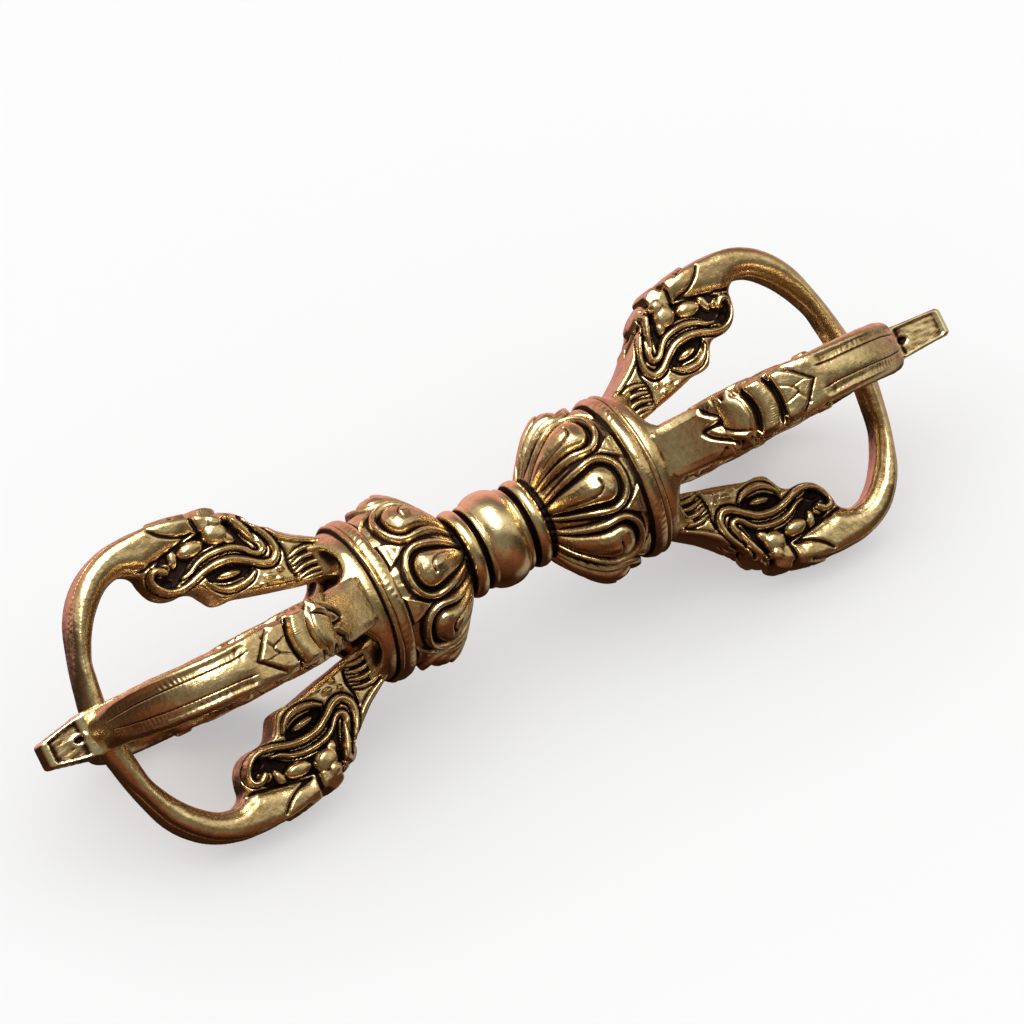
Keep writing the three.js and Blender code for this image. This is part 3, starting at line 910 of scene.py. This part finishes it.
def rounded_drop(gap, size):
    """How far a quarter-round edge of this size lies below its flat, at a gap from it."""
    reach = np.clip(1 - gap / size, 0, 1)
    return size * (1 - np.sqrt(1 - reach ** 2))


drop = rounded_drop(inner_gap, inner_round) + rounded_drop(crest_gap, outer_round)
jaw_line = smooth_line([(6.9, 9.0), (7.7, 8.85), (8.9, 8.55), (10.2, 8.3), (11.3, 8.1),
                        (12, 8.45)], 6)
jaw_gap, _ = nearest(side_place, jaw_line)
over_jaw = fade(drawn_out - np.interp(drawn_x, *jaw_line.T), -0.05, 0.1)
over_jaw *= fade(drawn_x, 6.9, 7.8) * (1 - fade(drawn_x, 11.2, 12))
drop += over_jaw * 0.6 * rounded_drop(jaw_gap, 1.2)
full_half = np.interp(drawn_x, *half_widths.T)
half_here = full_half - np.minimum(drop, 1)
print("half as wide as", round(full_half.max(), 2), "mm")

# %% [markdown]
# The head is carved as layers of height on the two flat sides: first the mouth and the eye
# socket are sunk, then lobes and ropes are laid over them, and lines are cut last. A rope
# is a line with a round top in a trench of its own.

# %% Tools for carving the sides
height = np.zeros(len(places))


def sink(outline, depth, soft=0.16):
    """Lower all within a smooth outline."""
    edge = smooth_line([*outline, outline[0]], 5)
    inward = depth_inside(side_place, edge[:-1])
    height[:] = height * (1 - fade(inward, -soft / 2, soft)) - depth * fade(inward, -soft / 2, soft)


def dome(center, size, tilt, base, crown, fullness=2):
    """Raise an oval swelling from a base level. A fuller one has a flatter top."""
    turn = math.radians(tilt)
    offset = side_place - center
    lengthwise = (offset @ (math.cos(turn), math.sin(turn))) / size[0]
    crosswise = (offset @ (-math.sin(turn), math.cos(turn))) / size[1]
    q = np.hypot(lengthwise, crosswise)
    top = base + (crown - base) * np.sqrt(np.clip(1 - q ** fullness, 0, 1))
    height[:] = np.where(q < 1, np.maximum(height, top), height)


def rope(knots, radius, base, crown, trench):
    """Lay a round-topped rope in a trench, with its radius given from end to end."""
    gap, share = nearest(side_place, smooth_line(knots, 5))
    thick = np.interp(share, np.linspace(0, 1, len(radius)), radius)
    sunk = 1 - fade(gap, thick + trench * 0.4, thick + trench * 1.3)
    height[:] = height * (1 - sunk) + np.minimum(height, base) * sunk
    q = np.clip(gap / thick, 0, 1)
    top = base + (crown - base) * np.sqrt(1 - q * q)
    height[:] = np.where(q < 1, np.maximum(height, top), height)


print("three tools: sink, dome and rope")

# %% Sink the mouth and the eye socket, and fill them
MOUTH = [(4.85, 8.75), (4.55, 7.9), (4.25, 7.0), (4.15, 6.45), (4.6, 6.55), (5.3, 7.2),
         (6.1, 7.6), (6.9, 7.7), (7.9, 7.45), (8.8, 6.85), (9.5, 6.35), (10.3, 6.25),
         (10.75, 6.7), (10.85, 7.4), (10.6, 8.0), (9.9, 8.45), (9.0, 8.65), (7.6, 8.8),
         (6.6, 8.9), (5.6, 8.95)]
EYE_SOCKET = [(4.6, 5.3), (5.1, 5.0), (5.9, 4.95), (6.8, 5.1), (7.5, 5.5), (7.75, 5.95),
              (7.2, 6.2), (6.4, 6.15), (5.5, 5.85), (4.9, 5.55)]
sink(MOUTH, 0.62)
sink(EYE_SOCKET, 0.6, 0.12)
for center, size, tilt, base, crown in (
        ((5.95, 8.35), (0.95, 0.82), 25, -0.5, 0.18), ((5.3, 7.75), (0.42, 0.62), -25, -0.5, 0.02),
        ((5.7, 9.15), (0.55, 0.5), 60, -0.3, 0.18), ((7.85, 8.1), (1.0, 0.58), -4, -0.5, 0.12),
        ((9.2, 8.05), (0.34, 0.7), 15, -0.5, -0.06), ((10.1, 7.6), (0.55, 0.42), -20, -0.5, 0.16)):
    dome(center, size, tilt, base, crown, 3)
dome((6.25, 5.5), (0.9, 0.31), 9, -0.55, 0.06)
print("mouth as deep as", round(-height.min(), 2), "mm")

# %% Lay the ropes of neck, brow, snout and lip
rope([(0.1, 5.25), (1.3, 5.85), (2.4, 6.7), (3.0, 7.5), (3.3, 8.0)],
     (0.2, 0.24, 0.2), -0.1, 0.14, 0.12)
rope([(4.7, 4.95), (5.2, 4.65), (6.0, 4.5), (6.8, 4.6), (7.4, 5.0), (7.75, 5.5)],
     (0.16, 0.26, 0.3, 0.28, 0.2, 0.12), -0.3, 0.2, 0.08)
rope([(3.95, 8.5), (3.4, 7.7), (3.0, 7.0), (2.75, 6.3), (2.75, 5.6), (3.2, 5.1), (3.9, 5.2),
      (4.75, 5.8), (5.65, 6.33), (6.75, 6.5), (7.85, 6.36), (8.8, 6.06), (9.6, 5.93),
      (10.3, 6.1), (10.85, 6.6), (11.1, 7.2), (10.95, 7.7), (10.5, 7.8), (10.2, 7.6),
      (10.05, 7.45)],
     (0.14, 0.22, 0.27, 0.31, 0.34, 0.36, 0.34, 0.33, 0.33, 0.32, 0.3, 0.28, 0.27, 0.27, 0.25,
      0.24, 0.28, 0.3, 0.28), -0.45, 0.24, 0.06)
rope([(4.5, 8.75), (4.15, 7.9), (3.8, 7.1), (3.5, 6.5), (3.55, 6.1), (3.9, 5.97), (4.3, 6.2),
      (4.7, 6.65), (5.2, 7.0), (6.0, 7.22), (7.0, 7.27), (7.9, 7.08), (8.6, 6.72), (9.2, 6.6)],
     (0.32, 0.34, 0.33, 0.32, 0.31, 0.28, 0.24, 0.23, 0.25, 0.26, 0.25, 0.23, 0.2, 0.12),
     -0.5, 0.22, 0.06)
sink([(9.7, 6.75), (10.05, 6.4), (10.45, 6.5), (10.5, 6.85), (10.15, 6.95)], 0.8, 0.08)
print("ropes as high as", round(height.max(), 2), "mm")

# %% Cut the lines, and add gills and scales
CUT_LINES = [([(7.2, 8.95), (8.4, 9.25), (9.3, 9.8), (9.85, 10.4)], 0.24, 0.1),
             ([(5.05, 9.6), (5.0, 8.9), (4.85, 8.4)], 0.45, 0.14),
             ([(6.95, 10.4), (6.95, 9.6), (6.85, 8.7)], 0.45, 0.15),
             ([(3.4, 8.2), (3.75, 7.6), (3.7, 6.9)], 0.25, 0.09),
             ([(2.3, 5.9), (2.25, 5.2), (2.4, 4.3), (2.2, 3.5)], 0.25, 0.12)]
GILLS = (4.85, 4.3, 3.75, 3.25)
SCALES = [((3.0, 4.45), (0.34, 0.24), 40), ((3.9, 4.3), (0.55, 0.26), 12),
          ((3.3, 3.85), (0.35, 0.2), 10), ((4.5, 3.95), (0.4, 0.16), 12)]
for knots, depth, radius in CUT_LINES:
    gap, _ = nearest(side_place, smooth_line(knots, 4))
    height -= depth * bell(gap, radius)
for v in GILLS:
    rope([(0.1, v - 0.1), (0.8, v + 0.12), (1.5, v + 0.14), (2.15, v - 0.02)],
         (0.13, 0.19, 0.18, 0.1), -0.26, 0.1, 0.08)
for center, size, tilt in SCALES:
    dome(center, size, tilt, -0.2, 0.14)
print("side relief from", round(height.min(), 2), "to", round(height.max(), 2), "mm")

# %% [markdown]
# The back of the prong is carved in the same way, by the station along it and the place
# across it: a folded throat, a dome, a broad band, a five-cornered leaf, and a long flat
# face between notched edges. The crest says where the back is and which way it faces.

# %% Find the back
crest_ends = np.linspace(0, 1, len(crest))


def on_crest(share):
    """The point at this share of the crest."""
    return np.stack([np.interp(share, crest_ends, crest[:, k]) for k in (0, 1)], 1)


tangent = on_crest(crest_share + 0.004) - on_crest(crest_share - 0.004)
tangent /= np.linalg.norm(tangent, axis=1)[:, None]
crest_normal = tangent[:, ::-1] * (-1, 1)
on_back = fade((faces_out[:, (0, 2)] * crest_normal).sum(1), 0.25, 0.8)
on_back = on_back * (1 - fade(crest_gap, 0.3, 0.6))
station = on_crest(crest_share)[:, 0]
lengths = np.hypot(*np.diff(crest, axis=0).T)
walked = np.interp(crest_share, crest_ends, np.concatenate([[0], np.cumsum(lengths)]))
cross = places[:, 1] / SLAB_HALF * full_half
back_place = np.stack([station, cross], 1)
print("crest", round(walked.max(), 1), "mm long")

# %% Raise the band, the dome and the leaf
BAND_HEIGHT, DOME_HEIGHT, LEAF_HEIGHT = 0.42, 0.36, 0.2
HATCH_STEP = 0.2
LEAF = [(7.0, -2.4), (7.0, 2.4), (8.3, 1.75), (9.65, 0.15), (8.5, -1.75)]
bowed = station - 0.22 * (1 - (cross / 1.5) ** 2)
band = fade(bowed, 5.35, 5.55) * (1 - fade(bowed, 6.5, 6.72))
back = BAND_HEIGHT * band * np.sqrt(np.clip(1 - ((bowed - 6.02) / 0.74) ** 2, 0, 1))
hatching = np.sin(cross * 2 * math.pi / HATCH_STEP + station * 1.5) * fade(-cross, 0.2, 0.5)
back += 0.022 * hatching * fade(bowed, 5.9, 6.2) * band
dome_q = np.hypot((bowed - 4.25) / 0.95, cross / 2.1)
back += DOME_HEIGHT * np.sqrt(np.clip(1 - dome_q ** 3, 0, 1)) * (1 - fade(bowed, 5.0, 5.18))
leaf_edge = depth_inside(back_place, LEAF)
back += LEAF_HEIGHT * fade(leaf_edge, -0.02, 0.25)
back -= 0.1 * bell(leaf_edge, 0.07)
back -= 0.5 * bell(bowed - 5.22, 0.16)
back -= 0.5 * bell(bowed - 6.88, 0.19)
print("back raised by", round(back.max(), 2), "mm")

# %% Score the lines across the back
# Each line has its points, its depth (negative for a ridge) and its radius: the dome's
# crescent, the veins of the leaf, and the fold of the throat with its ridges.
SCORED_LINES = [
    ([(4.5, 1.9), (4.92, 1.3), (5.05, 0.5), (5.05, -0.4), (4.85, -1.3), (4.5, -1.9)], 0.12, 0.06),
    ([(7.3, 0.9), (8.1, 0.3), (8.3, -0.35), (7.4, -0.75)], 0.07, 0.06),
    ([(8.1, 0.3), (8.9, 0.45), (9.4, 0.35)], 0.05, 0.05),
    ([(8.3, -0.35), (8.65, -1.1), (8.8, -1.6)], 0.08, 0.06),
    ([(2.6, 2.0), (2.9, 1.6), (3.45, 0.75), (3.3, 0.3), (2.4, 0.2), (2.65, -0.55), (3.3, -1.25),
      (4.0, -2.0)], 0.24, 0.13),
    ([(2.75, 0.55), (3.05, 0.75), (2.75, 1.3), (2.4, 1.8)], -0.08, 0.18),
    ([(2.85, 0.0), (3.15, -0.5), (3.7, -1.0), (4.4, -1.7)], -0.12, 0.17),
    ([(3.4, 0.1), (3.6, -0.4), (4.0, -0.85), (4.7, -1.4)], 0.2, 0.1)]
for knots, depth, radius in SCORED_LINES:
    gap, _ = nearest(back_place, smooth_line(knots, 4))
    back -= depth * bell(gap, radius)
back -= 0.5 * np.exp(-(((station - 3.35) / 0.2) ** 2 + ((cross - 0.3) / 0.2) ** 2))
print(len(SCORED_LINES), "lines and one pit")

# %% Shape the long face past the leaf
EDGE_BAND, TICK_STEP = 0.62, 0.37
past_leaf = fade(walked, 12.0, 12.8) * (1 - fade(station, 17.6, 18.4))
from_line = np.abs(cross) - (full_half - EDGE_BAND)
back -= past_leaf * 0.1 * (cross / 1.2) ** 2
back -= past_leaf * 0.11 * bell(from_line, 0.07)
ticks = np.sin(walked * 2 * math.pi / TICK_STEP + 2.5 * ripple(places, 2, 40))
ticks = ticks * fade(ripple(places, 3.5, 41), -0.2, 0.7)
edge_relief = 0.014 * ticks + 0.03 * fade(from_line, 0.1, 0.6)
back += past_leaf * fade(from_line, 0.08, 0.2) * edge_relief
print("back relief from", round(back.min(), 2), "to", round(back.max(), 2), "mm")

# %% [markdown]
# The relief is applied, and a fine unevenness is added, as hand-finished wax leaves it.

# %% Apply the relief
flat_side = fade(np.abs(faces_out[:, 1]), 0.35, 0.85)
carved = places.copy()
carved[:, 1] = places[:, 1] / SLAB_HALF * half_here
carved[:, 1] += np.sign(places[:, 1]) * height * flat_side
carved[:, (0, 2)] += crest_normal * (back * on_back)[:, None]
carved += faces_out * (0.012 * ripple(carved, 1.3, 42) + 0.005 * ripple(carved, 0.45, 43))[:, None]
place_points(prong, carved)
apply_modifier(prong, "SMOOTH", factor=0.5, iterations=1)
mark_hollows(prong, [(-0.2, 0.5, 5.2)])
carved = points_of(prong)

# %% [markdown]
# The one prong is stretched for each end and copied round the axis. Those that lean to the
# front at the top, and their opposites, are a little longer, as the photograph shows. Each
# copy strays by a few hundredths. Two are off by more, in millimetres: BEND pushes the left
# one in front sideways, and its hidden opposite, and REACH moves the arc of another along.

# %% Set out the eight prongs
ROOT_START = 11.72
LONG_PRONG = {"right": 19.0, "left": 20.0}
SHORT_PRONG = {"right": 16.9, "left": 19.5}
LONG_PLACES = ("upper_front", "lower_back")
ROUND_THE_AXIS = ["upper_front", "lower_front", "lower_back", "upper_back"]
PRONG_PLACES = {"right": ROUND_THE_AXIS, "left": ROUND_THE_AXIS[::-1]}
BEND = {("left", "upper_front"): 0.6, ("left", "lower_back"): -0.5}
REACH = {("right", "lower_front"): 0.4}
STRAY = 0.05
for side, names in PRONG_PLACES.items():
    for number, place in enumerate(names):
        length = LONG_PRONG[side] if place in LONG_PLACES else SHORT_PRONG[side]
        copy = copy_piece(prong, f"outer_prong_{side}_{place}_cast")
        bent = carved.copy()
        bent[:, 0] = ROOT_START + carved[:, 0] * length / DRAWN_LENGTH
        bow = np.sin(np.clip(carved[:, 0] / DRAWN_LENGTH, 0, 1) * math.pi)
        bent[:, 0] += REACH.get((side, place), 0) * fade(carved[:, 0], 8, 15)
        bent[:, 1] += BEND.get((side, place), 0) * bow
        seed = 50 + number + (4 if side == "left" else 0)
        free = fade(bent[:, 0], 12, 16)[:, None]
        bent += free * STRAY * np.stack([ripple(bent, 14, seed + 10 * k) for k in range(3)], 1)
        place_points(copy, bent)
        turn = Matrix.Rotation(PRONG_ROLL + number * QUARTER_TURN, 4, "X")
        if side == "left":
            turn = HALF_TURN @ turn
        finish_piece(copy, f"outer_prong_{side}_{place}", carved_brass, turn)
bpy.data.objects.remove(prong)
print("eight prongs of", len(carved), "vertices each")
